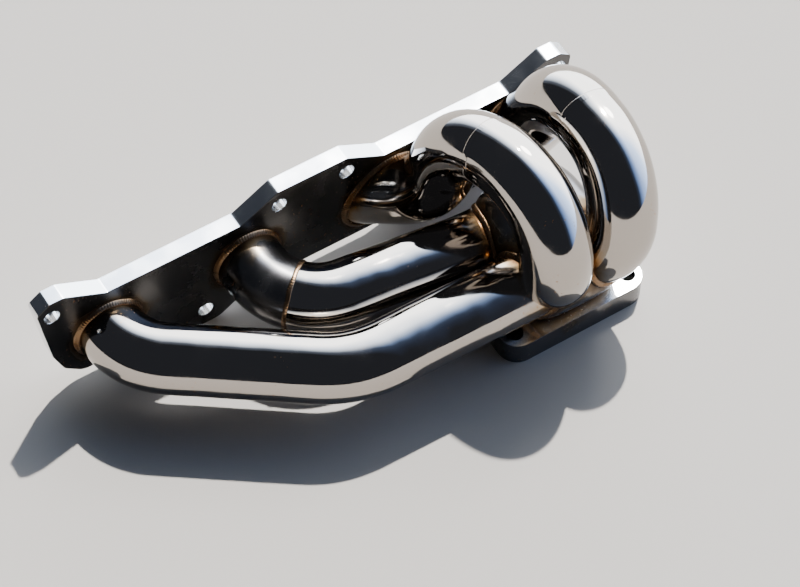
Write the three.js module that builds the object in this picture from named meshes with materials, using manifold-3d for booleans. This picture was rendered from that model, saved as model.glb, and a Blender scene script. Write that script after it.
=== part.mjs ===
// Four-cylinder turbo exhaust manifold, fabricated from stainless tube.
//
// Four runners leave a scalloped head flange and meet in a collector that stands on a
// four-bolt turbine flange. Everything is welded, so the pieces are separate but rigid.
//
// Units are millimetres. X runs along the head flange towards port 4, Y points from the
// runners to the engine, Z is up. The origin is under the middle of the whole part, at the
// level of the turbine flange's sealing face. The dimensions below measure Y from the head
// flange's front face, which the runners are welded to.
import * as THREE from 'three';
import { mergeVertices } from 'three/addons/utils/BufferGeometryUtils.js';
import Module from 'manifold-3d';

const wasm = await Module();
wasm.setup();

// ---------------------------------------------------------------- driving dimensions
const GAP = 0.3;                    // clearance kept between neighbouring solids
const PORT_PITCH = 97;              // cylinder spacing
const PORT_HEIGHT = 46;             // port centres of cylinders 1 and 2
const HIGH_PORT_HEIGHT = 48;        // port centres of cylinders 3 and 4
const TUBE_RADIUS = 22.25;          // 44.5 mm tube
const TUBE_WALL = 2;
const TUBE_SIDES = 20;
const ARC_STEP = THREE.MathUtils.degToRad(15);
const RUN_PAST = 2;                 // how far a cutting solid runs past the face it cuts
const MERGE_DISTANCE = 1e-4;
const FAR = 400;                    // beyond every piece

const HEAD_FACE_Y = 67.86;          // the head flange's front face, from the origin
const HEAD_THICKNESS = 12;
const HEAD_BAR_TOP = 81;            // top edge over the ports
const HEAD_EAR_TOP = 96;            // top edge over the upper bolts
const HEAD_BAR_BOTTOM = 15;         // bottom edge under the ports
const BOLT_RADIUS = 5.25;
const UPPER_BOLTS = { height: 83, offsets: [-180, -24, 24, 180] };
const LOWER_BOLTS = { height: 14, offsets: [-115.5, -80, 80, 115.5] };

const TURBINE = {
  centre: new THREE.Vector2(114, -88),
  length: 104,
  depth: 84,
  thickness: 18,
  cornerRadius: 13,
  portLength: 56,
  portDepth: 46,
  portRadius: 12,
  boltLength: 84,
  boltDepth: 62,
};

const COLLECTOR = {
  centre: new THREE.Vector2(116, -86),
  halfLength: 37,
  halfDepth: 46,
  footNarrowing: 5,                 // drawn in front and back, to stand on the turbine flange
  footHeight: 18,
  wall: 3,
  squareness: 4.2,
  segments: 40,
};

const WELD_REACH = 3.2;             // how far a fillet bead spreads over each surface
const PORT_BEAD = 4;                // how far a port bead stands off the head flange
const BUTT_WELD = { lift: 0.5, height: 1.3, width: 4 };

// Each runner is a bend programme: corner points of its centreline with a bend radius.
const OUTER_PORT = 1.5 * PORT_PITCH;
const INNER_PORT = 0.5 * PORT_PITCH;
const RUNNERS = [
  {
    start: [-OUTER_PORT, 0, PORT_HEIGHT],
    bends: [
      { corner: [-OUTER_PORT, -25, 46], radius: 48 },
      { corner: [-36, -105, 46], radius: 70 },
    ],
    end: [102, -108, 46],
  },
  {
    start: [-INNER_PORT, 0, PORT_HEIGHT],
    bends: [
      { corner: [-INNER_PORT, -48, 44], radius: 44 },
      { corner: [66, -62, 41], radius: 60 },
    ],
    end: [102, -65, 42],
    jointMidBend: 1,
    portBendFinish: 'satin',
  },
  {
    start: [INNER_PORT, 0, HIGH_PORT_HEIGHT],
    bends: [
      { corner: [70, -29, 65], radius: 44 },
      { corner: [80.5, -32, 120], radius: 44 },
      { corner: [96, -102, 138], radius: 48 },
      { corner: [92.5, -147, 56], radius: 36 },
    ],
    end: [106, -92, 50],
    jointAfterBend: 2,
    portBendFinish: 'polished',
  },
  {
    start: [OUTER_PORT, 0, HIGH_PORT_HEIGHT],
    bends: [
      { corner: [147, -15, 62], radius: 42 },
      { corner: [155.5, -41, 121], radius: 43 },
      { corner: [152, -110, 124], radius: 44 },
      { corner: [139, -130, 56], radius: 34 },
    ],
    end: [129, -97, 46],
    jointAfterBend: 2,
    portBendFinish: 'polished',
  },
];

// ---------------------------------------------------------------- solids and booleans
function solid(geometry) {
  const bare = geometry.index ? geometry.toNonIndexed() : geometry.clone();
  bare.deleteAttribute('normal');
  bare.deleteAttribute('uv');
  const merged = mergeVertices(bare, MERGE_DISTANCE);
  return new wasm.Manifold(new wasm.Mesh({
    numProp: 3,
    vertProperties: merged.attributes.position.array,
    triVerts: merged.index.array,
  }));
}

// The largest body of a cut piece, without the crumbs that a grazing cut leaves.
function mainBody(manifold) {
  return manifold.decompose().reduce((best, body) => (body.volume() > best.volume() ? body : best));
}

function geometryOf(manifold) {
  const mesh = manifold.getMesh();
  const geometry = new THREE.BufferGeometry();
  geometry.setAttribute('position', new THREE.BufferAttribute(mesh.vertProperties, 3));
  geometry.setIndex(new THREE.BufferAttribute(mesh.triVerts, 1));
  return geometry;
}

function box(low, high) {
  const size = new THREE.Vector3().subVectors(high, low);
  const geometry = new THREE.BoxGeometry(size.x, size.y, size.z);
  const middle = new THREE.Vector3().addVectors(low, high).multiplyScalar(0.5);
  return solid(geometry.translate(middle.x, middle.y, middle.z));
}

// A closed outline whose corners are rounded, each point being [x, y, corner radius].
function roundedShape(corners) {
  const shape = new THREE.Shape();
  corners.forEach(([x, y, radius], index) => {
    const corner = new THREE.Vector2(x, y);
    const [beforeX, beforeY] = corners.at(index - 1);
    const [afterX, afterY] = corners[(index + 1) % corners.length];
    const toBefore = new THREE.Vector2(beforeX, beforeY).sub(corner).normalize();
    const toAfter = new THREE.Vector2(afterX, afterY).sub(corner).normalize();
    const setback = radius / Math.tan(Math.acos(toBefore.dot(toAfter)) / 2);
    const arrive = corner.clone().addScaledVector(toBefore, setback);
    const leave = corner.clone().addScaledVector(toAfter, setback);
    if (index === 0) {
      shape.moveTo(arrive.x, arrive.y);
    } else {
      shape.lineTo(arrive.x, arrive.y);
    }
    shape.quadraticCurveTo(corner.x, corner.y, leave.x, leave.y);
  });
  shape.closePath();
  return shape;
}

function roundedRectangle(length, depth, radius) {
  const x = length / 2;
  const y = depth / 2;
  return roundedShape([[-x, -y, radius], [x, -y, radius], [x, y, radius], [-x, y, radius]]);
}

function plate(shape, thickness, curveSegments = 5) {
  return new THREE.ExtrudeGeometry(shape, { depth: thickness, bevelEnabled: false, curveSegments });
}

// ---------------------------------------------------------------- bent tube
class StationPath extends THREE.Curve {
  constructor(stations) {
    super();
    this.stations = stations;
  }

  stationAt(u) {
    return this.stations[Math.round(u * (this.stations.length - 1))];
  }

  getPointAt(u) {
    return this.stationAt(u).point.clone();
  }

  getTangentAt(u) {
    return this.stationAt(u).tangent.clone();
  }
}

// Turns a bend programme into stations along the centreline: the ends of every straight
// and a few steps round every bend. bendMiddles and bendEnds hold the stations half-way
// round each bend and at its close.
function bendStations({ start, bends, end }) {
  const corners = [start, ...bends.map((bend) => bend.corner), end];
  const points = corners.map((corner) => new THREE.Vector3(...corner));
  const stations = [];
  const bendMiddles = [];
  const bendEnds = [];
  const lead = new THREE.Vector3().subVectors(points[1], points[0]).normalize();
  const inEngine = (HEAD_THICKNESS + RUN_PAST) / -lead.y;
  stations.push({ point: points[0].clone().addScaledVector(lead, -inEngine), tangent: lead });
  bends.forEach(({ radius }, index) => {
    const corner = points[index + 1];
    const arriving = new THREE.Vector3().subVectors(corner, points[index]).normalize();
    const leaving = new THREE.Vector3().subVectors(points[index + 2], corner).normalize();
    const turn = arriving.angleTo(leaving);
    const setback = radius * Math.tan(turn / 2);
    const bendStart = corner.clone().addScaledVector(arriving, -setback);
    const axis = new THREE.Vector3().crossVectors(arriving, leaving).normalize();
    const centre = new THREE.Vector3().crossVectors(axis, arriving).setLength(radius).add(bendStart);
    const steps = Math.ceil(turn / ARC_STEP);
    for (let step = 0; step <= steps; step += 1) {
      const angle = (turn * step) / steps;
      const arm = new THREE.Vector3().subVectors(bendStart, centre).applyAxisAngle(axis, angle);
      stations.push({ point: arm.add(centre), tangent: arriving.clone().applyAxisAngle(axis, angle) });
    }
    bendEnds.push(stations.length - 1);
    bendMiddles.push(stations.length - 1 - Math.floor(steps / 2));
  });
  stations.push({ point: points.at(-1), tangent: stations.at(-1).tangent });
  return { stations, bendMiddles, bendEnds };
}

function circle(radius) {
  return Array.from({ length: TUBE_SIDES }, (_, index) => {
    const angle = (2 * Math.PI * index) / TUBE_SIDES;
    return new THREE.Vector2(radius * Math.cos(angle), radius * Math.sin(angle));
  });
}

function sweep(stations, outerRadius, innerRadius = 0) {
  const section = new THREE.Shape(circle(outerRadius));
  if (innerRadius > 0) {
    section.holes.push(new THREE.Path(circle(innerRadius)));
  }
  const extrudePath = new StationPath(stations);
  return solid(new THREE.ExtrudeGeometry(section, { steps: stations.length - 1, extrudePath }));
}

// ---------------------------------------------------------------- collector
// A domed pot with a rounded-square plan: a turned profile pushed out towards its corners
// and drawn in front and back at its foot.
function collectorSolid(grow, base, crown) {
  const height = crown - base;
  const profile = [
    [0, 0], [0.83, 0], [0.96, 0.13], [1, 0.3], [1, 0.55],
    [0.93, 0.74], [0.78, 0.88], [0.5, 0.97], [0, 1],
  ].map(([reach, rise]) => new THREE.Vector2(reach, base + rise * height));
  const geometry = new THREE.LatheGeometry(profile, COLLECTOR.segments).rotateX(Math.PI / 2);
  const positions = geometry.attributes.position;
  for (let index = 0; index < positions.count; index += 1) {
    const x = positions.getX(index);
    const y = positions.getY(index);
    const angle = Math.atan2(y, x);
    const power = COLLECTOR.squareness;
    const spread = Math.abs(Math.cos(angle)) ** power + Math.abs(Math.sin(angle)) ** power;
    const push = spread ** (-1 / power);
    const above = THREE.MathUtils.clamp((positions.getZ(index) - base) / COLLECTOR.footHeight, 0, 1);
    const halfDepth = COLLECTOR.halfDepth - COLLECTOR.footNarrowing * (1 - above);
    positions.setX(index, COLLECTOR.centre.x + x * push * (COLLECTOR.halfLength + grow));
    positions.setY(index, COLLECTOR.centre.y + y * push * (halfDepth + grow));
  }
  return solid(geometry);
}

const COLLECTOR_BASE = TURBINE.thickness + GAP;
const COLLECTOR_CROWN = 80;
const collectorOuter = (grow) => collectorSolid(grow, COLLECTOR_BASE - grow, COLLECTOR_CROWN + grow);

// ---------------------------------------------------------------- finishes
const FINISH = {
  polished: { color: 0xc9cdd0, roughness: 0.12, metalness: 1 },
  satin: { color: 0xa9a59d, roughness: 0.38, metalness: 1 },
  flange: { color: 0xb4b7ba, roughness: 0.2, metalness: 1 },
  weld: { color: 0x8a6a45, roughness: 0.45, metalness: 1 },
};

const manifold = new THREE.Group();
manifold.position.y = HEAD_FACE_Y;

function addPiece(name, geometry, finish, parent = manifold) {
  const mesh = new THREE.Mesh(geometry, new THREE.MeshStandardMaterial(FINISH[finish]));
  mesh.name = name;
  parent.add(mesh);
  return mesh;
}

// ---------------------------------------------------------------- runners
const runners = RUNNERS.map((programme) => {
  const { stations, bendMiddles, bendEnds } = bendStations(programme);
  return {
    programme,
    stations,
    joint: bendEnds[programme.jointAfterBend - 1] ?? bendMiddles[programme.jointMidBend - 1],
    grown: (grow) => sweep(stations, TUBE_RADIUS + grow),
    mouth: (grow) => sweep(stations.slice(bendEnds.at(-2)), TUBE_RADIUS + grow),
    bore: sweep(stations, TUBE_RADIUS - TUBE_WALL),
  };
});

const engineSide = box(new THREE.Vector3(-FAR, -GAP, -FAR), new THREE.Vector3(FAR, FAR, FAR));

const NOTCHED_ROUND_RUNNER_3 = [0, 3];

function tubePiece(stations) {
  return sweep(stations, TUBE_RADIUS, TUBE_RADIUS - TUBE_WALL);
}

runners.forEach(({ programme, stations, joint }, index) => {
  const name = `runner_${index + 1}`;
  const trim = (piece) => {
    let trimmed = piece.subtract(engineSide).subtract(collectorOuter(GAP));
    if (NOTCHED_ROUND_RUNNER_3.includes(index)) {
      trimmed = trimmed.subtract(runners[2].grown(GAP));
    }
    return geometryOf(mainBody(trimmed));
  };
  if (joint === undefined) {
    addPiece(name, trim(tubePiece(stations)), 'polished');
    return;
  }
  const { point, tangent } = stations[joint];
  const after = { point: point.clone().addScaledVector(tangent, GAP), tangent };
  const portBend = tubePiece(stations.slice(0, joint + 1));
  addPiece(`${name}_port_bend`, trim(portBend), programme.portBendFinish);
  addPiece(`${name}_collector_leg`, trim(tubePiece([after, ...stations.slice(joint + 1)])), 'polished');

  const halfBead = BUTT_WELD.width / 2;
  const beadEnds = [-halfBead, halfBead].map((shift) => ({
    point: point.clone().addScaledVector(tangent, shift + GAP / 2),
    tangent,
  }));
  const bead = sweep(beadEnds, TUBE_RADIUS + BUTT_WELD.height, TUBE_RADIUS + BUTT_WELD.lift);
  addPiece(`${name}_butt_weld`, geometryOf(bead), 'weld');
});

// ---------------------------------------------------------------- head flange
const rightHalf = [
  [25, HEAD_EAR_TOP, 4],
  [51, HEAD_BAR_TOP, 4],
  [143.5, HEAD_BAR_TOP, 4],
  [170.5, HEAD_EAR_TOP, 4],
  [181, HEAD_EAR_TOP, 3],
  [189.5, 90, 4],
  [184, 43, 6],
  [178, 26, 8],
  [166, HEAD_BAR_BOTTOM, 10],
  [147, HEAD_BAR_BOTTOM, 8],
  [124, 0, 12],
  [71, 0, 12],
  [47, HEAD_BAR_BOTTOM, 8],
];
const leftHalf = rightHalf.map(([x, z, radius]) => [-x, z, radius]).reverse();
const headOutline = roundedShape([...leftHalf, ...rightHalf].reverse());
const headBlank = plate(headOutline, HEAD_THICKNESS)
  .rotateX(Math.PI / 2)
  .translate(0, HEAD_THICKNESS, 0);

function drill(radius, x, height) {
  const length = 2 * (HEAD_THICKNESS + RUN_PAST);
  return solid(new THREE.CylinderGeometry(radius, radius, length, TUBE_SIDES).translate(x, 0, height));
}

let headFlange = solid(headBlank);
for (const { height, offsets } of [UPPER_BOLTS, LOWER_BOLTS]) {
  for (const x of offsets) {
    headFlange = headFlange.subtract(drill(BOLT_RADIUS, x, height));
  }
}
for (const { start: [x, , height] } of RUNNERS) {
  headFlange = headFlange.subtract(drill(TUBE_RADIUS - TUBE_WALL, x, height));
}
addPiece('head_flange', geometryOf(headFlange), 'flange');

const beadSlab = solid(plate(headOutline, PORT_BEAD).rotateX(Math.PI / 2).translate(0, -GAP, 0));
runners.forEach(({ grown }, index) => {
  const bead = grown(WELD_REACH).intersect(beadSlab).subtract(grown(GAP));
  addPiece(`port_weld_${index + 1}`, geometryOf(mainBody(bead)), 'weld');
});

// ---------------------------------------------------------------- collector and its welds
let collector = collectorOuter(0);
const collectorRoom = collectorSolid(
  -COLLECTOR.wall,
  COLLECTOR_BASE - GAP,
  COLLECTOR_CROWN - COLLECTOR.wall,
);
collector = collector.subtract(collectorRoom);
for (const { bore } of runners) {
  collector = collector.subtract(bore);
}
addPiece('collector', geometryOf(collector), 'satin');

// Runners 3 and 4 touch where they enter, so one bead runs round both. It is laid first,
// and the beads of runners 1 and 2 stop short of it.
const FOOT_BEAD_TOP = COLLECTOR_BASE + WELD_REACH;
const aboveFoot = box(
  new THREE.Vector3(-FAR, -FAR, FOOT_BEAD_TOP + GAP),
  new THREE.Vector3(FAR, FAR, FAR),
);
const collectorBeads = collectorOuter(WELD_REACH).subtract(collectorOuter(GAP)).intersect(aboveFoot);
const BEADS = [
  { name: 'collector_weld_3_4', around: [2, 3] },
  { name: 'collector_weld_1', around: [0] },
  { name: 'collector_weld_2', around: [1] },
];
const mouths = (around, grow) => around
  .map((index) => runners[index].mouth(grow))
  .reduce((joined, mouth) => joined.add(mouth));
BEADS.forEach(({ name, around }, turn) => {
  let bead = mouths(around, WELD_REACH).intersect(collectorBeads);
  for (const { grown } of runners) {
    bead = bead.subtract(grown(GAP));
  }
  for (const earlier of BEADS.slice(0, turn)) {
    bead = bead.subtract(mouths(earlier.around, WELD_REACH + GAP));
  }
  addPiece(name, geometryOf(mainBody(bead)), 'weld');
});

const footSlab = box(
  new THREE.Vector3(-FAR, -FAR, COLLECTOR_BASE),
  new THREE.Vector3(FAR, FAR, FOOT_BEAD_TOP),
);
const footFillet = collectorSolid(WELD_REACH, COLLECTOR_BASE, COLLECTOR_CROWN + WELD_REACH);
let footBead = footFillet.subtract(collectorOuter(GAP)).intersect(footSlab);
for (const { grown } of runners) {
  footBead = footBead.subtract(grown(WELD_REACH + GAP));
}
addPiece('turbine_weld', geometryOf(footBead), 'weld');

// ---------------------------------------------------------------- turbine flange
const turbineGroup = new THREE.Group();
turbineGroup.position.set(TURBINE.centre.x, TURBINE.centre.y, 0);
manifold.add(turbineGroup);

const turbineOutline = roundedRectangle(TURBINE.length, TURBINE.depth, TURBINE.cornerRadius);
turbineOutline.holes.push(roundedRectangle(TURBINE.portLength, TURBINE.portDepth, TURBINE.portRadius));
for (const alongX of [-0.5, 0.5]) {
  for (const alongY of [-0.5, 0.5]) {
    const hole = new THREE.Path();
    const x = alongX * TURBINE.boltLength;
    const y = alongY * TURBINE.boltDepth;
    hole.setFromPoints(circle(BOLT_RADIUS).map((point) => point.add(new THREE.Vector2(x, y))));
    turbineOutline.holes.push(hole);
  }
}
addPiece('turbine_flange', plate(turbineOutline, TURBINE.thickness), 'flange', turbineGroup);

export default manifold;
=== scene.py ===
import math

import bmesh
import bpy
from mathutils import Matrix, Vector, noise
from mathutils.bvhtree import BVHTree
from mathutils.kdtree import KDTree


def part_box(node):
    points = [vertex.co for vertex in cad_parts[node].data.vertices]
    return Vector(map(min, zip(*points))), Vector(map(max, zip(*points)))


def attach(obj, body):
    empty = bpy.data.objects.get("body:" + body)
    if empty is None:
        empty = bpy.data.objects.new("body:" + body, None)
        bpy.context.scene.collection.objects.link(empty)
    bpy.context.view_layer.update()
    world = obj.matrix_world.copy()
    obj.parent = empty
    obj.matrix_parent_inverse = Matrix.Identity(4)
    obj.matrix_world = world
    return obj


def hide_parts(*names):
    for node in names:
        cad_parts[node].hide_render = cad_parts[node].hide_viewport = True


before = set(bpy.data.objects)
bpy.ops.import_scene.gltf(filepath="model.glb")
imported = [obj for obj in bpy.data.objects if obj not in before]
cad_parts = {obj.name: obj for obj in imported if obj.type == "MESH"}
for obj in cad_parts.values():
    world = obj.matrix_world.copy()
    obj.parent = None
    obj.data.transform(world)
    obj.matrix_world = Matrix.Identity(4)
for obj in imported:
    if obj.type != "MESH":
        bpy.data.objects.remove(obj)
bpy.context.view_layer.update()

# ------------------------------------------------------------------ head flange
# One plate, cut to a scalloped outline with an ear at each stud, drilled for four ports and
# eight studs, and linished bright on its edges. Every runner is welded to its front face.
MM = 0.001
GAP = 0.3 * MM
TUBE_RADIUS = 22.25 * MM
TUBE_WALL = 2 * MM
PORT_PITCH = 97 * MM
PORTS = [(-1.5 * PORT_PITCH, 46 * MM), (-0.5 * PORT_PITCH, 46 * MM),
         (0.5 * PORT_PITCH, 48 * MM), (1.5 * PORT_PITCH, 48 * MM)]
STUD_HOLE_RADIUS = 5.25 * MM
HEAD_STUDS = [(side * x * MM, z * MM) for side in (-1, 1)
              for x, z in ((24, 83), (180, 83), (80, 14), (115.5, 14))]
HEAD_OUTLINE = [(25, 96, 4), (51, 81, 4), (143.5, 81, 4), (170.5, 96, 4), (181, 96, 3),
                (189.5, 90, 4), (184, 43, 6), (178, 26, 8), (166, 15, 10), (147, 15, 8),
                (124, 0, 12), (71, 0, 12), (47, 15, 8)]
HOLE_SIDES = 72
CORNER_STEPS = 8
HEAT_PITCH = 4 * MM


def to_object(bm, name):
    mesh = bpy.data.meshes.new(name)
    bm.to_mesh(mesh)
    bm.free()
    made = bpy.data.objects.new(name, mesh)
    bpy.context.scene.collection.objects.link(made)
    return made


def settle(piece):
    """Bakes a piece's modifiers into its mesh."""
    bpy.context.view_layer.update()
    depsgraph = bpy.context.evaluated_depsgraph_get()
    piece.data = bpy.data.meshes.new_from_object(piece.evaluated_get(depsgraph))
    piece.modifiers.clear()


def cut(piece, cutter):
    """Takes the cutter's volume out of a piece."""
    boolean = piece.modifiers.new("cut", "BOOLEAN")
    boolean.operation = "DIFFERENCE"
    boolean.solver = "EXACT"
    boolean.object = cutter
    settle(piece)


def rounded_plate(corners, thickness):
    """A plate lying on z = 0, each corner being (x, y, radius) in metres."""
    bm = bmesh.new()
    outline = bm.faces.new([bm.verts.new((x, y, 0)) for x, y, _ in corners])
    raised = bmesh.ops.extrude_face_region(bm, geom=[outline])["geom"]
    top = [v for v in raised if isinstance(v, bmesh.types.BMVert)]
    bmesh.ops.translate(bm, verts=top, vec=(0, 0, thickness))
    for index, (x, y, radius) in enumerate(corners):
        corner = Vector((x, y))
        to_before = (Vector(corners[index - 1][:2]) - corner).normalized()
        to_after = (Vector(corners[(index + 1) % len(corners)][:2]) - corner).normalized()
        setback = radius / math.tan(to_before.angle(to_after) / 2)
        upright = [e for e in bm.edges if all((v.co.xy - corner).length < 1e-5 for v in e.verts)]
        bmesh.ops.bevel(bm, geom=upright, offset=setback, segments=CORNER_STEPS, profile=0.5,
                        affect="EDGES", material=-1)
    bmesh.ops.recalc_face_normals(bm, faces=bm.faces)
    return bm


def drill(holes, radius, depth):
    """Round cutters along z through z = 0, one for each (x, y)."""
    bm = bmesh.new()
    for x, y in holes:
        bmesh.ops.create_cone(bm, cap_ends=True, segments=HOLE_SIDES, radius1=radius, radius2=radius,
                              depth=depth, matrix=Matrix.Translation((x, y, 0)))
    return to_object(bm, "cutter")


def discard(cutter):
    bpy.data.objects.remove(cutter)


def soften_edges(piece, width):
    """Breaks the sharp edges, as a file does."""
    bevel = piece.modifiers.new("broken edges", "BEVEL")
    bevel.width = width
    bevel.segments = 3
    bevel.limit_method = "ANGLE"
    bevel.angle_limit = math.radians(40)
    settle(piece)


def slice_finely(piece, low, high, pitch, axes):
    """Cuts flat faces into small ones, so that the heat colour has points to sit on."""
    bm = bmesh.new()
    bm.from_mesh(piece.data)
    for axis in axes:
        normal = Vector((0, 0, 0))
        normal[axis] = 1
        count = int((high[axis] - low[axis]) / pitch)
        for step in range(1, count):
            plane = low.copy()
            plane[axis] += (high[axis] - low[axis]) * step / count
            geometry = bm.verts[:] + bm.edges[:] + bm.faces[:]
            bmesh.ops.bisect_plane(bm, geom=geometry, dist=1e-6, plane_co=plane, plane_no=normal)
    bm.to_mesh(piece.data)
    bm.free()


def flat_faces_stay_flat(piece):
    piece.data.shade_smooth()
    weighted = piece.modifiers.new("flat faces", "WEIGHTED_NORMAL")
    weighted.weight = 100
    weighted.keep_sharp = True


head_low, head_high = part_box("head_flange")
right_half = [(x * MM, z * MM, r * MM) for x, z, r in HEAD_OUTLINE]
left_half = [(-x, z, r) for x, z, r in reversed(right_half)]
bm = rounded_plate(left_half + right_half, head_high.y - head_low.y)
stand_up = Matrix.Translation((0, head_high.y, 0)) @ Matrix.Rotation(math.radians(90), 4, "X")
head_flange = to_object(bm, "head_flange_plate")
for holes, radius in ((HEAD_STUDS, STUD_HOLE_RADIUS), (PORTS, TUBE_RADIUS - TUBE_WALL)):
    cutter = drill(holes, radius, 3 * (head_high.y - head_low.y))
    cut(head_flange, cutter)
    discard(cutter)
head_flange.data.transform(stand_up)
soften_edges(head_flange, 0.8 * MM)
slice_finely(head_flange, head_low, head_high, HEAT_PITCH, (0, 2))
flat_faces_stay_flat(head_flange)
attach(head_flange, "root")
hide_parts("head_flange")

# ------------------------------------------------------------------ turbine flange
# A thick square plate with a rounded port and four stud holes. The turbine bolts under it.
turbine_low, turbine_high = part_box("turbine_flange")
turbine_centre = (turbine_low + turbine_high) / 2
PORT_HALF = (28 * MM, 23 * MM)
TURBINE_STUD_HALF = (42 * MM, 31 * MM)
TURBINE_CORNER = 13 * MM
PORT_CORNER = 12 * MM


def rectangle(half_x, half_y, radius):
    return [(-half_x, -half_y, radius), (half_x, -half_y, radius),
            (half_x, half_y, radius), (-half_x, half_y, radius)]


turbine_half = (turbine_high - turbine_low) / 2
bm = rounded_plate(rectangle(turbine_half.x, turbine_half.y, TURBINE_CORNER), turbine_high.z)
turbine_flange = to_object(bm, "turbine_flange_plate")
bm = rounded_plate(rectangle(*PORT_HALF, PORT_CORNER), 3 * turbine_high.z)
bmesh.ops.translate(bm, verts=bm.verts, vec=(0, 0, -turbine_high.z))
port_cutter = to_object(bm, "cutter")
cut(turbine_flange, port_cutter)
discard(port_cutter)
stud_x, stud_y = TURBINE_STUD_HALF
turbine_studs = [(side * stud_x, end * stud_y) for side in (-1, 1) for end in (-1, 1)]
cutter = drill(turbine_studs, STUD_HOLE_RADIUS, 4 * turbine_high.z)
cut(turbine_flange, cutter)
discard(cutter)
turbine_flange.data.transform(Matrix.Translation((turbine_centre.x, turbine_centre.y, 0)))
soften_edges(turbine_flange, 0.9 * MM)
slice_finely(turbine_flange, turbine_low, turbine_high, HEAT_PITCH, (0, 1, 2))
flat_faces_stay_flat(turbine_flange)
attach(turbine_flange, "root")
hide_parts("turbine_flange")

# ------------------------------------------------------------------ collector
# A domed pot, pressed and welded from plate, that gathers the four runners and stands on
# the turbine flange. Its plan is a rounded square, drawn in front and back at the foot.
collector_low, collector_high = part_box("collector")
collector_centre = (collector_low + collector_high) / 2
collector_half = (collector_high - collector_low) / 2
COLLECTOR_WALL = 3 * MM
COLLECTOR_SIDES = 40
SQUARENESS = 4.2
FOOT_NARROWING = 5 * MM
FOOT_HEIGHT = 18 * MM
COLLECTOR_PROFILE = [(0.83, 0), (0.9, 0.06), (0.96, 0.13), (1, 0.3), (1, 0.55),
                     (0.94, 0.74), (0.8, 0.88), (0.52, 0.975), (0.2, 1)]


def collector_shell(name):
    """The collector's outside, open at its foot."""
    bm = bmesh.new()
    bmesh.ops.create_circle(bm, segments=COLLECTOR_SIDES, radius=1)
    for vertex in bm.verts:
        x, y, _ = vertex.co
        push = (abs(x) ** SQUARENESS + abs(y) ** SQUARENESS) ** (-1 / SQUARENESS)
        vertex.co = Vector((x * push, y * push, 0))
    ring = bm.edges[:]
    height = 2 * collector_half.z
    placed = Matrix.Identity(4)
    for step, (reach, rise) in enumerate(COLLECTOR_PROFILE):
        if step:
            grown = bmesh.ops.extrude_edge_only(bm, edges=ring)["geom"]
            ring = [g for g in grown if isinstance(g, bmesh.types.BMEdge)]
        above = min(rise * height / FOOT_HEIGHT, 1)
        half_depth = collector_half.y - FOOT_NARROWING * (1 - above)
        place = Matrix.Translation((collector_centre.x, collector_centre.y, collector_low.z + rise * height))
        place = place @ Matrix.Diagonal((reach * collector_half.x, reach * half_depth, 1, 1))
        moving = {v for e in ring for v in e.verts}
        bmesh.ops.transform(bm, matrix=place @ placed.inverted(), verts=list(moving))
        placed = place
    bmesh.ops.edgeloop_fill(bm, edges=ring)
    bmesh.ops.recalc_face_normals(bm, faces=bm.faces)
    shell = to_object(bm, name)
    rounding = shell.modifiers.new("rounding", "SUBSURF")
    rounding.levels = 2
    rounding.render_levels = 2
    settle(shell)
    return shell


collector_core = collector_shell("cutter")
bm = bmesh.new()
bm.from_mesh(collector_core.data)
foot_edges = [e for e in bm.edges if e.is_boundary]
bmesh.ops.edgeloop_fill(bm, edges=foot_edges)
bmesh.ops.recalc_face_normals(bm, faces=bm.faces)
collector_surface = BVHTree.FromBMesh(bm)
bm.to_mesh(collector_core.data)
bm.free()

collector = collector_shell("collector_shell")
wall = collector.modifiers.new("wall", "SOLIDIFY")
wall.thickness = COLLECTOR_WALL
wall.offset = -1
settle(collector)

# ------------------------------------------------------------------ runners
# Stainless tube, bent on a mandrel and polished. Runners 2, 3 and 4 are each two bends,
# butt-welded end to end; runner 1 is one length. They meet side by side in the collector.
RUNNERS = [
    {"port": (-145.5, 0, 46), "end": (102, -108, 46), "joint": None,
     "bends": [((-145.5, -25, 46), 48), ((-36, -105, 46), 70)]},
    {"port": (-48.5, 0, 46), "end": (102, -65, 42), "joint": ("middle", 1),
     "bends": [((-48.5, -48, 44), 44), ((66, -62, 41), 60)]},
    {"port": (48.5, 0, 48), "end": (106, -92, 50), "joint": ("end", 2),
     "bends": [((70, -29, 65), 44), ((80.5, -32, 120), 44), ((96, -102, 138), 48), ((92.5, -147, 56), 36)]},
    {"port": (145.5, 0, 48), "end": (129, -97, 46), "joint": ("end", 2),
     "bends": [((147, -15, 62), 42), ((155.5, -41, 121), 43), ((152, -110, 124), 44), ((139, -130, 56), 34)]},
]
TUBE_SIDES = 72
STRAIGHT_STEP = 3 * MM
BEND_STEP = math.radians(3.6)
LEAD_IN = 14 * MM
MOUTH_STEPS = 40
SHARP = math.radians(50)
HEAD_FACE = Vector((0, head_low.y, 0))


def facing(point, direction):
    """A place at a point whose z axis looks along a direction."""
    return Matrix.Translation(point) @ direction.to_track_quat("Z", "Y").to_matrix().to_4x4()


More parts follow.
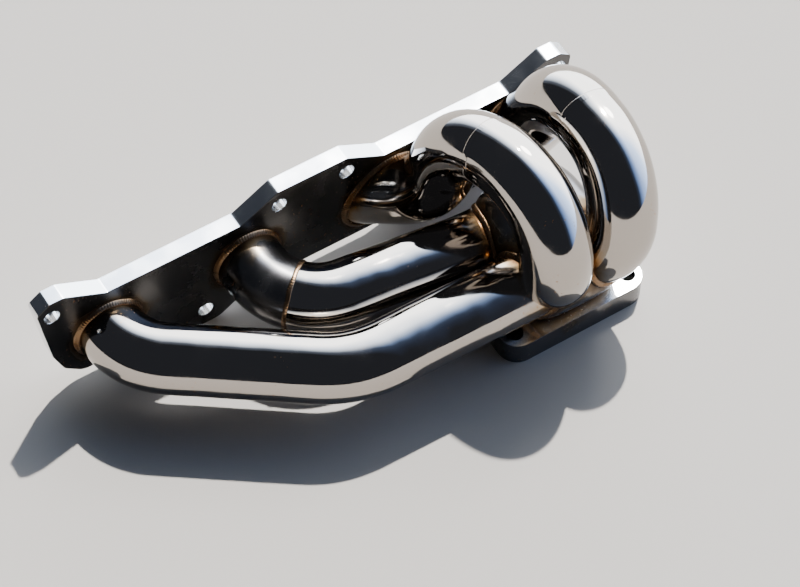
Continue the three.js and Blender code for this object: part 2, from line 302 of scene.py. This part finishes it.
def bend_route(port, bends, end):
    """Places along a bent tube's centreline, and the indices half-way round and closing each bend."""
    corners = [Vector(point) * MM + HEAD_FACE for point in (port, *(corner for corner, _ in bends), end)]
    direction = (corners[1] - corners[0]).normalized()
    route = [facing(corners[0] - direction * LEAD_IN / -direction.y, direction)]
    marks = {"middle": [], "end": []}
    for index, (_, radius) in enumerate(bends):
        corner = corners[index + 1]
        leaving = (corners[index + 2] - corner).normalized()
        turn = direction.angle(leaving)
        bend_start = corner - direction * radius * MM * math.tan(turn / 2)
        straight(route, bend_start)
        axis = direction.cross(leaving).normalized()
        centre = bend_start + axis.cross(direction) * radius * MM
        first = route[-1]
        steps = math.ceil(turn / BEND_STEP)
        for step in range(1, steps + 1):
            swing = Matrix.Translation(centre) @ Matrix.Rotation(turn * step / steps, 4, axis)
            route.append(swing @ Matrix.Translation(-centre) @ first)
        marks["end"].append(len(route) - 1)
        marks["middle"].append(len(route) - 1 - steps // 2)
        direction = leaving
    straight(route, corners[-1])
    return route, marks


def straight(route, goal):
    """Carries a route on in a straight line to a point."""
    start = route[-1].translation.copy()
    steps = math.ceil((goal - start).length / STRAIGHT_STEP)
    first = route[-1]
    for step in range(1, steps + 1):
        route.append(Matrix.Translation((goal - start) * step / steps) @ first)


def sweep(bm, places, ring_edges):
    """Carries a ring of edges from place to place, leaving a skin behind it."""
    for before, after in zip(places, places[1:]):
        grown = bmesh.ops.extrude_edge_only(bm, edges=ring_edges)["geom"]
        ring_edges = [g for g in grown if isinstance(g, bmesh.types.BMEdge)]
        moving = [g for g in grown if isinstance(g, bmesh.types.BMVert)]
        bmesh.ops.transform(bm, matrix=after @ before.inverted(), verts=moving)


def tube_skin(route, radius):
    bm = bmesh.new()
    bmesh.ops.create_circle(bm, segments=TUBE_SIDES, radius=radius, matrix=route[0])
    sweep(bm, route, bm.edges[:])
    return bm


def mandrel_ripple(point):
    """How far a bent tube's skin lies inside its true round, which wavers a little."""
    return ((noise.noise(point * 45) - 1.5) * 0.20 + (noise.noise(point * 140) - 1) * 0.04) * MM


def bent_tube(name, route):
    """A length of bent tube with its wall, trimmed at the head flange and the collector."""
    bm = tube_skin(route, TUBE_RADIUS)
    bmesh.ops.recalc_face_normals(bm, faces=bm.faces)
    bm.normal_update()
    for vertex in bm.verts:
        vertex.co += vertex.normal * mandrel_ripple(vertex.co)
    geometry = bm.verts[:] + bm.edges[:] + bm.faces[:]
    bmesh.ops.bisect_plane(bm, geom=geometry, plane_co=(0, head_low.y - GAP, 0), plane_no=(0, 1, 0),
                           clear_outer=True)
    tube = to_object(bm, name)
    wall = tube.modifiers.new("wall", "SOLIDIFY")
    wall.thickness = TUBE_WALL
    wall.offset = -1
    settle(tube)
    if max(v.co.x for v in tube.data.vertices) > collector_low.x:
        cut(tube, collector_core)
    tube.data.shade_smooth()
    tube.data.set_sharp_from_angle(angle=SHARP)
    return tube


routes = []
tubes = []
joints = {}
for number, runner in enumerate(RUNNERS, start=1):
    route, marks = bend_route(runner["port"], runner["bends"], runner["end"])
    routes.append(route)
    if runner["joint"] is None:
        lengths = [("runner_1", "runner_1_tube", route)]
    else:
        place, bend = runner["joint"]
        joint = marks[place][bend - 1]
        joints[number] = route[joint]
        lengths = [(f"runner_{number}_port_bend", f"runner_{number}_first_bend", route[:joint + 1]),
                   (f"runner_{number}_collector_leg", f"runner_{number}_second_bend", route[joint:])]
    for node, name, part in lengths:
        tube = bent_tube(name, part)
        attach(tube, "root")
        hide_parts(node)
        tubes.append(tube)

for route in routes:
    bm = tube_skin(route[-MOUTH_STEPS:], TUBE_RADIUS - TUBE_WALL)
    bmesh.ops.holes_fill(bm, edges=[e for e in bm.edges if e.is_boundary])
    bmesh.ops.recalc_face_normals(bm, faces=bm.faces)
    bore = to_object(bm, "cutter")
    cut(collector, bore)
    discard(bore)
discard(collector_core)
collector.data.shade_smooth()
collector.data.set_sharp_from_angle(angle=SHARP)
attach(collector, "root")
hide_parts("collector")

# ------------------------------------------------------------------ weld beads
# Hand-laid beads, built of overlapping ripples: one round each runner at the head flange
# and at the collector, one round each butt joint, and one round the collector's foot.
BEAD_SIDES = 14
RIPPLE_PITCH = 1.7 * MM
RINGS_PER_RIPPLE = 5
CRESCENT = 0.8 * MM
FILLET = (2.6 * MM, 1.5 * MM)
BUTT = (1.5 * MM, 0.6 * MM)
DRESSED_BUTT = (2.4 * MM, 0.07 * MM)
DRESSED_SINK = 0.04 * MM
DRESSED_JOINTS = (3, 4)
SEAM_GAP = 0.03 * MM
FOOT_LIFT = 0.4 * MM
ENTRY_STEPS = 60
weld_lines = []


def resample(points, count):
    """Evenly spaced points round a closed line."""
    closed = points + points[:1]
    lengths = [(b - a).length for a, b in zip(closed, closed[1:])]
    total = sum(lengths)
    spaced = []
    segment, walked = 0, 0.0
    for index in range(count):
        target = total * index / count
        while walked + lengths[segment] < target:
            walked += lengths[segment]
            segment += 1
        part = (target - walked) / lengths[segment]
        spaced.append(closed[segment].lerp(closed[segment + 1], part))
    return spaced


def lay_bead(bm, points, outwards, section, dressed=False):
    """Lays a bead round a closed line, rippled unless it is dressed smooth.

    outwards gives the way the bead faces at a point.
    """
    length = sum((b - a).length for a, b in zip(points, points[1:] + points[:1]))
    ripples = round(length / RIPPLE_PITCH)
    count = ripples * RINGS_PER_RIPPLE
    centres = resample(points, count)
    if section is FILLET:
        weld_lines.extend(centres[::RINGS_PER_RIPPLE])
    places = []
    for index in range(count + 1):
        here = centres[index % count]
        along = (centres[(index + 1) % count] - centres[index - 1 if index < count else -1]).normalized()
        out = outwards(here)
        out = (out - along * out.dot(along)).normalized()
        across = out.cross(along)
        beat = index % RINGS_PER_RIPPLE / RINGS_PER_RIPPLE
        swell = 1 + 0.11 * math.sin(math.pi * beat) + 0.13 * noise.noise(here * 160)
        drift = 0.35 * MM * noise.noise(here * 110 + Vector((7, 3, 5)))
        if dressed:
            swell, drift = 1, 0
        place = Matrix.Identity(4)
        for column, axis in enumerate((across * section[0] * swell, out * section[1] * swell, along)):
            place.col[column] = axis.to_4d()
            place.col[column][3] = 0
        place.translation = here + across * drift
        places.append(place)
    places[-1] = places[0]
    start = len(bm.verts)
    bmesh.ops.create_circle(bm, segments=BEAD_SIDES, radius=1)
    bm.verts.ensure_lookup_table()
    ring_verts = bm.verts[start:]
    for vertex in ring_verts:
        vertex.co.z = 0 if dressed else CRESCENT * max(vertex.co.y, 0) ** 2
    ring = [e for e in bm.edges if e.verts[0] in ring_verts and e.verts[1] in ring_verts]
    bmesh.ops.transform(bm, matrix=places[0], verts=ring_verts)
    sweep(bm, places, ring)


def finish_bead(bm, name, node):
    """Closes a bead's seam and puts the bead in its node's place."""
    bmesh.ops.remove_doubles(bm, verts=bm.verts, dist=SEAM_GAP)
    bmesh.ops.recalc_face_normals(bm, faces=bm.faces)
    bead = to_object(bm, name)
    bead.data.shade_smooth()
    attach(bead, "root")
    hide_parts(node)
    return bead


def ring_on(place, radius):
    """Points of a circle round a place's z axis."""
    turns = [2 * math.pi * k / TUBE_SIDES for k in range(TUBE_SIDES)]
    return [place @ Vector((radius * math.cos(t), radius * math.sin(t), 0)) for t in turns]


beads = []
for number, route in enumerate(routes, start=1):
    direction = route[0].to_3x3() @ Vector((0, 0, 1))
    line = []
    for point in ring_on(route[0], TUBE_RADIUS):
        line.append(point + direction * ((head_low.y - GAP - point.y) / direction.y))
    middle = sum(line, Vector()) / len(line)
    bm = bmesh.new()
    lay_bead(bm, line, lambda p: ((p - middle).normalized() + Vector((0, -1, 0))).normalized(), FILLET)
    beads.append(finish_bead(bm, f"port_weld_{number}_bead", f"port_weld_{number}"))

for number, place in joints.items():
    dressed = number in DRESSED_JOINTS
    line = []
    for point in ring_on(place, TUBE_RADIUS):
        out = (point - place.translation).normalized()
        line.append(point + out * (mandrel_ripple(point) - (DRESSED_SINK if dressed else 0)))
    section = DRESSED_BUTT if dressed else BUTT
    bm = bmesh.new()
    lay_bead(bm, line, lambda p: (p - place.translation).normalized(), section, dressed)
    beads.append(finish_bead(bm, f"runner_{number}_butt_bead", f"runner_{number}_butt_weld"))


def entry_line(route):
    """Where a runner's outside meets the collector, from outside in."""
    rings = [ring_on(place, TUBE_RADIUS) for place in route[-ENTRY_STEPS:]]
    line = []
    for side in range(TUBE_SIDES):
        for before, after in zip(rings, rings[1:]):
            step = after[side] - before[side]
            hit, _, _, _ = collector_surface.ray_cast(before[side], step.normalized(), step.length)
            if hit:
                line.append(hit)
                break
    return line


for name, node, numbers in (("collector_weld_1_bead", "collector_weld_1", [1]),
                            ("collector_weld_2_bead", "collector_weld_2", [2]),
                            ("collector_weld_3_4_bead", "collector_weld_3_4", [3, 4])):
    bm = bmesh.new()
    for number in numbers:
        line = entry_line(routes[number - 1])
        middle = sum(line, Vector()) / len(line)
        away = (middle - collector_centre).normalized()
        lay_bead(bm, line, lambda p: ((p - middle).normalized() + away).normalized(), FILLET)
    beads.append(finish_bead(bm, name, node))

foot_line = []
reach = COLLECTOR_PROFILE[0][0]
for step in range(TUBE_SIDES):
    angle = 2 * math.pi * step / TUBE_SIDES
    x, y = math.cos(angle), math.sin(angle)
    push = (abs(x) ** SQUARENESS + abs(y) ** SQUARENESS) ** (-1 / SQUARENESS)
    foot_line.append(Vector((
        collector_centre.x + x * push * reach * collector_half.x,
        collector_centre.y + y * push * reach * (collector_half.y - FOOT_NARROWING),
        collector_low.z + FOOT_LIFT)))
bm = bmesh.new()
foot_middle = Vector((collector_centre.x, collector_centre.y, collector_low.z))
lay_bead(bm, foot_line, lambda p: ((p - foot_middle).normalized() + Vector((0, 0, 1))).normalized(), FILLET)
beads.append(finish_bead(bm, "turbine_weld_bead", "turbine_weld"))

# ------------------------------------------------------------------ heat colour, finishes and painted shade
# Bare stainless: mirror-polished tube, a half-polished bend and collector, linished plate. The bend,
# collector and turbine flange sides carry painted shade in a very dark base colour. The head
# flange's front face is painted near-black, as painted shade of the shaded floor it mirrors. Each
# flange and collector weld has drawn dark brown, gold and straw bands into the metal round it,
# and small rust spots have set in.
HEAT_BANDS = [(0, (0.14, 0.10, 0.08)), (0.10, (0.17, 0.10, 0.06)), (0.24, (0.40, 0.22, 0.10)),
              (0.40, (0.72, 0.48, 0.24)), (0.64, (0.94, 0.79, 0.60)), (1, (1, 1, 1))]
RUST = (0.36, 0.15, 0.04, 1)
RUST_ROUGHNESS = 0.35
OXIDE_ROUGHNESS = 0.30
OXIDE_REACH = 0.7
SQUARE_ON = 0.7
weld_tree = KDTree(len(weld_lines))
for index, point in enumerate(weld_lines):
    weld_tree.insert(point, index)
weld_tree.balance()


def record_heat(piece):
    """Stores each point's distance from the nearest flange or collector weld."""
    heat = piece.data.attributes.new("weld_distance", "FLOAT", "POINT")
    heat.data.foreach_set("value", [weld_tree.find(v.co)[2] for v in piece.data.vertices])


def stainless(name, colour, roughness, tint_reach, spots, grain):
    """Bare metal with smudges, heat bands out to tint_reach from a weld, rust spots and grain.

    spots is how strong the rust is, and grain how strong the surface's fine unevenness is.
    """
    material = bpy.data.materials.new(name)
    material.use_nodes = True
    nodes, links = material.node_tree.nodes, material.node_tree.links
    shader = nodes["Principled BSDF"]
    shader.inputs["Metallic"].default_value = 1
    place = nodes.new("ShaderNodeTexCoord").outputs["Object"]

    def cloud(scale, detail, low, high, floor, ceiling):
        """Noise, with its values from low to high spread out from floor to ceiling."""
        texture = nodes.new("ShaderNodeTexNoise")
        texture.inputs["Scale"].default_value = scale
        texture.inputs["Detail"].default_value = detail
        links.new(place, texture.inputs["Vector"])
        spread = nodes.new("ShaderNodeMapRange")
        spread.inputs["From Min"].default_value = low
        spread.inputs["From Max"].default_value = high
        spread.inputs["To Min"].default_value = floor
        spread.inputs["To Max"].default_value = ceiling
        links.new(texture.outputs["Fac"], spread.inputs["Value"])
        return spread.outputs["Result"]

    def combine(operation, first, second):
        node = nodes.new("ShaderNodeMath")
        node.operation = operation
        for socket, value in zip(node.inputs, (first, second)):
            if isinstance(value, (int, float)):
                socket.default_value = value
            else:
                links.new(value, socket)
        return node.outputs["Value"]

    heat = nodes.new("ShaderNodeAttribute")
    heat.attribute_name = "weld_distance"
    wandering = combine("MULTIPLY", heat.outputs["Fac"], cloud(70, 3, 0.25, 0.75, 0.55, 1.6))
    near = combine("DIVIDE", wandering, tint_reach)
    bands = nodes.new("ShaderNodeValToRGB")
    links.new(near, bands.inputs["Fac"])
    ramp = bands.color_ramp
    for position, _ in HEAT_BANDS[1:-1]:
        ramp.elements.new(position)
    for stop, (_, band) in zip(ramp.elements, HEAT_BANDS):
        stop.color = (*(tint * metal for tint, metal in zip(band, colour)), 1)

    rust_mask = combine("MULTIPLY", cloud(520, 2, 0.68, 0.74, 0, 1), cloud(22, 2, 0.50, 0.62, 0, spots))
    rust = nodes.new("ShaderNodeMix")
    rust.data_type = "RGBA"
    links.new(rust_mask, rust.inputs["Factor"])
    links.new(bands.outputs["Color"], rust.inputs[6])
    rust.inputs[7].default_value = RUST
    links.new(rust.outputs[2], shader.inputs["Base Color"])

    smudged = cloud(48, 5, 0.42, 0.72, roughness, roughness + 0.10)
    oxide = nodes.new("ShaderNodeMapRange")
    oxide.inputs["From Max"].default_value = OXIDE_REACH
    oxide.inputs["To Min"].default_value = OXIDE_ROUGHNESS
    oxide.inputs["To Max"].default_value = 0
    links.new(near, oxide.inputs["Value"])
    rough = combine("ADD", smudged, oxide.outputs["Result"])
    links.new(combine("ADD", rough, combine("MULTIPLY", rust_mask, RUST_ROUGHNESS)), shader.inputs["Roughness"])

    bump = nodes.new("ShaderNodeBump")
    bump.inputs["Strength"].default_value = grain
    bump.inputs["Distance"].default_value = 0.2 * MM
    links.new(cloud(1400, 3, 0, 1, 0, 1), bump.inputs["Height"])
    links.new(bump.outputs["Normal"], shader.inputs["Normal"])
    return material


polished = stainless("polished tube", (0.42, 0.38, 0.34), 0.03, 12 * MM, 0.9, 0.012)
# Half-polished finish; its very dark base colour is painted shade, for the shaded bend, collector and turbine
# flange sides.
satin_with_painted_shade = stainless("half-polished tube painted dark as shade", (0.15, 0.145, 0.145), 0.19, 14 * MM, 0.5, 0.10)
# Near-black base colour: painted shade, standing for the shaded floor that the head flange's front face
# mirrors.
painted_shade_face = stainless("flange face painted dark as shade", (0.085, 0.082, 0.082), 0.22, 8 * MM, 0.8, 0.10)
linished = stainless("linished edge", (0.70, 0.71, 0.72), 0.17, 4 * MM, 0.4, 0.08)
bead_metal = stainless("weld metal", (0.20, 0.125, 0.07), 0.24, 2.5 * MM, 0.4, 0.25)

dressed_beads = [f"runner_{number}_butt_bead" for number in DRESSED_JOINTS]
# Runner 2's first bend and the collector take the half-polished metal, with painted shade in its dark base
# colour.
for piece in tubes:
    piece.data.materials.append(satin_with_painted_shade if piece.name == "runner_2_first_bend" else polished)
collector.data.materials.append(satin_with_painted_shade)
# The head flange's front face takes the near-black metal, which is painted shade; its edges, back and bores
# take the bright linished finish.
head_flange.data.materials.append(linished)
head_flange.data.materials.append(painted_shade_face)
for face in head_flange.data.polygons:
    face.material_index = int(face.normal.y < -SQUARE_ON)
# The turbine flange's top and bottom take the bright linished finish; its sides take the darker metal, whose
# dark base colour is painted shade.
turbine_flange.data.materials.append(linished)
turbine_flange.data.materials.append(satin_with_painted_shade)
for face in turbine_flange.data.polygons:
    face.material_index = int(abs(face.normal.z) < SQUARE_ON)
for bead in beads:
    bead.data.materials.append(polished if bead.name in dressed_beads else bead_metal)
for piece in (*tubes, collector, head_flange, turbine_flange, *beads):
    record_heat(piece)

# ------------------------------------------------------------------ floor, light and camera
# A plain pale floor in a studio that is lit from the right and dark on the left, with one
# lamp high behind the part for its shadow and a soft one beside it. The sky lights the floor
# less than the tubes mirror it, so that the shadow stays dark while the highlights burn out.
bm = bmesh.new()
bmesh.ops.create_grid(bm, x_segments=8, y_segments=8, size=6)
floor = to_object(bm, "floor")
stone = bpy.data.materials.new("pale floor")
stone.use_nodes = True
stone.node_tree.nodes["Principled BSDF"].inputs["Base Color"].default_value = (0.46, 0.445, 0.43, 1)
stone.node_tree.nodes["Principled BSDF"].inputs["Roughness"].default_value = 0.9
floor.data.materials.append(stone)

scene = bpy.context.scene
world = bpy.data.worlds.new("studio")
scene.world = world
world.use_nodes = True
sky_nodes, sky_links = world.node_tree.nodes, world.node_tree.links
SKY_IN_MIRROR = 9.0
SKY_ON_FLOOR = 1.6
RIGHT_SIDE = (0.96, 0.26, -0.05)
REAR = (0.30, 0.95, 0.0)
GLOOM = (0.0045, 0.0052, 0.0068)
direction = sky_nodes.new("ShaderNodeTexCoord")


def towards(way, stops):
    """A ramp of colours by how far a direction leans one way: 0 square across it, 1 along it."""
    lean = sky_nodes.new("ShaderNodeVectorMath")
    lean.operation = "DOT_PRODUCT"
    lean.inputs[1].default_value = way
    sky_links.new(direction.outputs["Generated"], lean.inputs[0])
    centred = sky_nodes.new("ShaderNodeMapRange")
    centred.inputs["From Min"].default_value = -1
    sky_links.new(lean.outputs["Value"], centred.inputs["Value"])
    ramp = sky_nodes.new("ShaderNodeValToRGB")
    sky_links.new(centred.outputs["Result"], ramp.inputs["Fac"])
    ramp.color_ramp.elements[0].color = (*stops[0][1], 1)
    ramp.color_ramp.elements[1].color = (*stops[-1][1], 1)
    for lean_at, colour in stops:
        ramp.color_ramp.elements.new((lean_at + 1) / 2).color = (*colour, 1)
    return ramp.outputs["Color"]


lit_side = towards(RIGHT_SIDE, [(0.02, (0, 0, 0)), (0.14, (0.03, 0.035, 0.045)),
                                (0.30, (0.45, 0.50, 0.58)), (0.46, (1.0, 1.0, 1.0))])
tone = towards(REAR, [(-0.45, (0.13, 0.20, 0.37)), (-0.05, (0.35, 0.48, 0.74)), (0.30, (0.93, 1.0, 1.08))])
tinted = sky_nodes.new("ShaderNodeVectorMath")
tinted.operation = "MULTIPLY_ADD"
sky_links.new(lit_side, tinted.inputs[0])
sky_links.new(tone, tinted.inputs[1])
tinted.inputs[2].default_value = GLOOM
sky_links.new(tinted.outputs["Vector"], sky_nodes["Background"].inputs["Color"])
seen_by = sky_nodes.new("ShaderNodeLightPath")
strength = sky_nodes.new("ShaderNodeMapRange")
strength.inputs["To Min"].default_value = SKY_IN_MIRROR
strength.inputs["To Max"].default_value = SKY_ON_FLOOR
sky_links.new(seen_by.outputs["Is Diffuse Ray"], strength.inputs["Value"])
sky_links.new(strength.outputs["Result"], sky_nodes["Background"].inputs["Strength"])

TO_SUN = Vector((0.410, 0.360, 0.8375))
key = bpy.data.lights.new("shadow lamp", "SUN")
key.energy = 9.5
key.angle = math.radians(1.2)
key.color = (1.0, 0.96, 0.90)
key_lamp = bpy.data.objects.new("shadow lamp", key)
key_lamp.rotation_euler = TO_SUN.to_track_quat("Z", "Y").to_euler()
scene.collection.objects.link(key_lamp)

TO_SOFTBOX = Vector((0.62, 0.30, 0.72))
SOFTBOX_DISTANCE = 2.6
softbox = bpy.data.lights.new("softbox", "AREA")
softbox.shape = "DISK"
softbox.size = 0.55
softbox.energy = 12
soft_lamp = bpy.data.objects.new("softbox", softbox)
soft_lamp.matrix_world = facing(TO_SOFTBOX * SOFTBOX_DISTANCE, TO_SOFTBOX)
scene.collection.objects.link(soft_lamp)

CAMERA_PLACE = Vector((-0.4845, -0.8770, 1.4206)) + HEAD_FACE
CAMERA_TARGET = Vector((-0.0338, -0.1543, 0.1859)) + HEAD_FACE
camera = bpy.data.cameras.new("camera")
camera.lens = 122.9
camera.sensor_width = 36
camera_object = bpy.data.objects.new("camera", camera)
camera_object.matrix_world = facing(CAMERA_PLACE, CAMERA_PLACE - CAMERA_TARGET)
scene.collection.objects.link(camera_object)
scene.camera = camera_object
